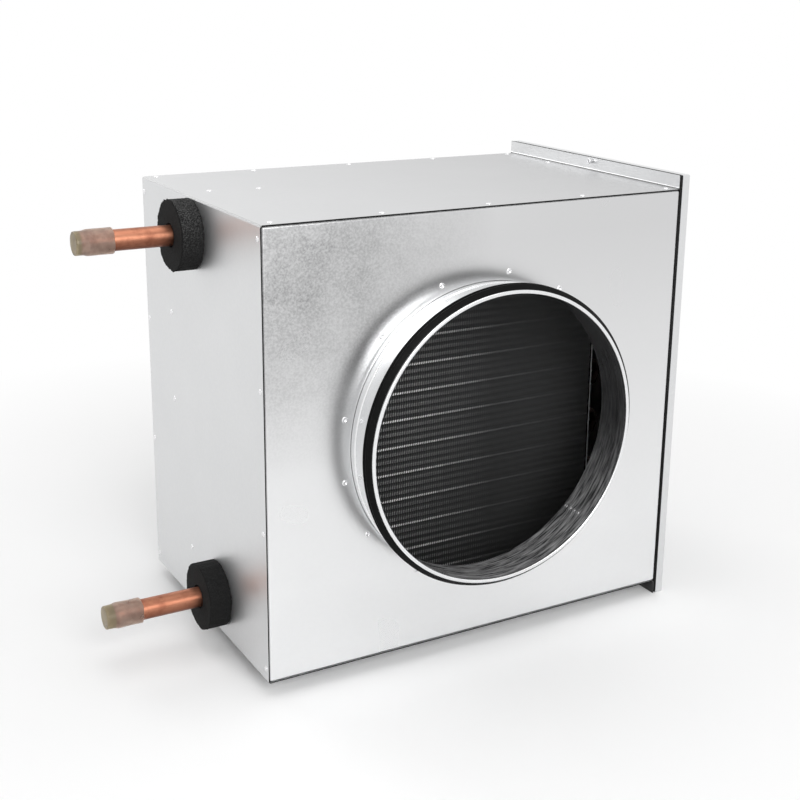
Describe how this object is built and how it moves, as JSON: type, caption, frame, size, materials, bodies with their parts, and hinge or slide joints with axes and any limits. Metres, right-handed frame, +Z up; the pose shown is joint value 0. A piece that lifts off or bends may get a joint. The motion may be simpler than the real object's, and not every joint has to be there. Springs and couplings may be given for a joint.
{
  "type": "duct water heater",
  "caption": "Round-duct hot-water heater: finned coil in a folded sheet-steel casing with gasketed spigots, copper pipe ends in foam rings, push-on caps and a screwed side cover.",
  "frame": {"origin": "under the middle of the overall box, at the level of the cover's lower edge", "axes": "+X from the pipe ends to the inspection cover, +Y the way through the duct from the front spigot to the rear one, +Z up"},
  "size_m": [0.6418, 0.426, 0.501],
  "materials": {
    "galvanised_sheet": "light grey galvanised sheet with a faint spangle",
    "galvanised_spigot": "bright rolled galvanised sheet",
    "coil_frame": "galvanised sheet, duller",
    "zinc_plate": "bright zinc plate",
    "fin_aluminium": "thin rolled aluminium",
    "copper": "drawn copper tube, slightly darkened",
    "gasket_rubber": "satin black rubber",
    "black_foam": "matt black closed-cell foam",
    "cloudy_plastic": "cloudy soft plastic"
  },
  "bodies": {
    "heater": {"casing_wrap": "galvanised_sheet", "front_panel": "galvanised_sheet", "rear_panel": "galvanised_sheet", "front_spigot": "galvanised_spigot", "rear_spigot": "galvanised_spigot", "front_gasket": "gasket_rubber", "rear_gasket": "gasket_rubber", "inspection_cover": "galvanised_sheet", "cover_seal": "black_foam", "cover_screw_top": "zinc_plate", "cover_screw_bottom": "zinc_plate", "cover_nut_top": "zinc_plate", "cover_nut_bottom": "zinc_plate", "fin_pack": "fin_aluminium", "coil_end_plate_left": "coil_frame", "coil_end_plate_right": "coil_frame", "coil_channel_top": "coil_frame", "coil_channel_bottom": "coil_frame", "coil_rail_top": "galvanised_sheet", "coil_rail_bottom": "galvanised_sheet", "supply_header": "copper", "return_header": "copper", "foam_ring_upper": "black_foam", "foam_ring_lower": "black_foam"},
    "cap_upper": {"transport_cap_upper": "cloudy_plastic"},
    "cap_lower": {"transport_cap_lower": "cloudy_plastic"}
  },
  "joints": [
    {"name": "cap_upper_pull", "type": "slide", "parent": "heater", "child": "cap_upper", "axis": [-1, 0, 0], "range_m": [0, 0.045]},
    {"name": "cap_lower_pull", "type": "slide", "parent": "heater", "child": "cap_lower", "axis": [-1, 0, 0], "range_m": [0, 0.045]}
  ]
}
